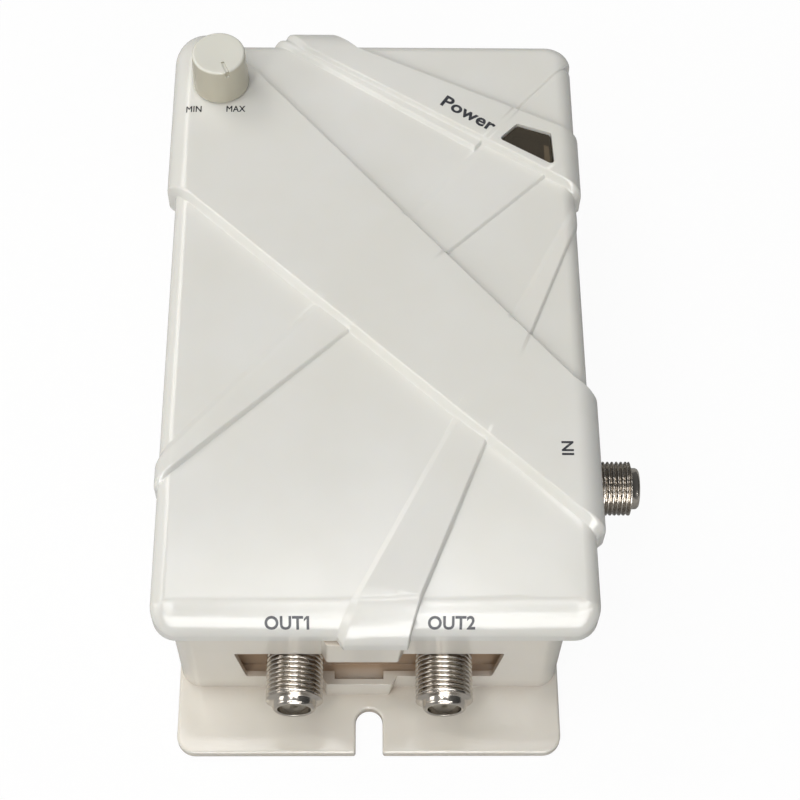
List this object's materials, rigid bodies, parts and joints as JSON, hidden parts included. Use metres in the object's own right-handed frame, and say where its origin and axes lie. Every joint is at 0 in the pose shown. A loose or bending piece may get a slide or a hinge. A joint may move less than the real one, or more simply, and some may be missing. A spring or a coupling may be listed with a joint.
{
  "type": "coaxial signal booster",
  "caption": "Flat signal booster for an antenna lead: ivory case with crossed raised bands, gain knob, power lens, threaded coaxial ports and slotted wall tabs.",
  "frame": {"origin": "centre of the flat underside of the wall plate", "axes": "+Z out of the cover, away from the wall; -Y towards the two output connectors; +X towards the input connector"},
  "size_m": [0.0842, 0.1384, 0.0425],
  "materials": {
    "ivory_plastic": "glossy ivory ABS",
    "knob_plastic": "satin ivory moulding",
    "nickel": "bright nickel plate on brass",
    "steel": "zinc-plated steel",
    "tinned_sheet": "tinned steel sheet",
    "contact_brass": "plated brass",
    "insulator_plastic": "white polymer bead",
    "smoked_lens": "smoked translucent lens",
    "lamp_plastic": "clear epoxy lamp",
    "board_laminate": "green solder mask on glass-epoxy laminate",
    "black_plastic": "moulded black component body",
    "ferrite": "sintered ferrite",
    "capacitor_sleeve": "shrink sleeve on an aluminium can",
    "copper_winding": "enamelled copper winding"
  },
  "bodies": {
    "case": {"base_case": "ivory_plastic", "top_cover": "ivory_plastic", "pot_housing": "black_plastic", "pot_bushing": "steel", "power_lens": "smoked_lens", "power_led": "lamp_plastic", "circuit_board": "board_laminate", "connector_out1": "nickel", "connector_out2": "nickel", "connector_in": "nickel", "insulator_out1": "insulator_plastic", "insulator_out2": "insulator_plastic", "insulator_in": "insulator_plastic", "contact_out1": "contact_brass", "contact_out2": "contact_brass", "contact_in": "contact_brass", "shield_frame": "tinned_sheet", "shield_lid": "tinned_sheet", "amplifier_chip": "black_plastic", "splitter_core": "ferrite", "bulk_capacitor_1": "capacitor_sleeve", "bulk_capacitor_2": "capacitor_sleeve", "voltage_regulator": "black_plastic", "power_inductor": "copper_winding", "polarity_diode": "black_plastic", "dc_jack_body": "black_plastic", "dc_jack_pin": "contact_brass", "case_screw_1": "steel", "board_screw_1": "steel", "case_screw_2": "steel", "board_screw_2": "steel", "case_screw_3": "steel", "board_screw_3": "steel", "case_screw_4": "steel", "board_screw_4": "steel"},
    "knob": {"gain_knob": "knob_plastic", "pot_shaft": "knob_plastic", "pot_wiper": "black_plastic"}
  },
  "joints": [
    {"name": "gain_turn", "type": "hinge", "parent": "case", "child": "knob", "pos_m": [-0.0276, 0.0488, 0.0343], "axis": [0, 0, 1], "range_deg": [0, 300]}
  ]
}
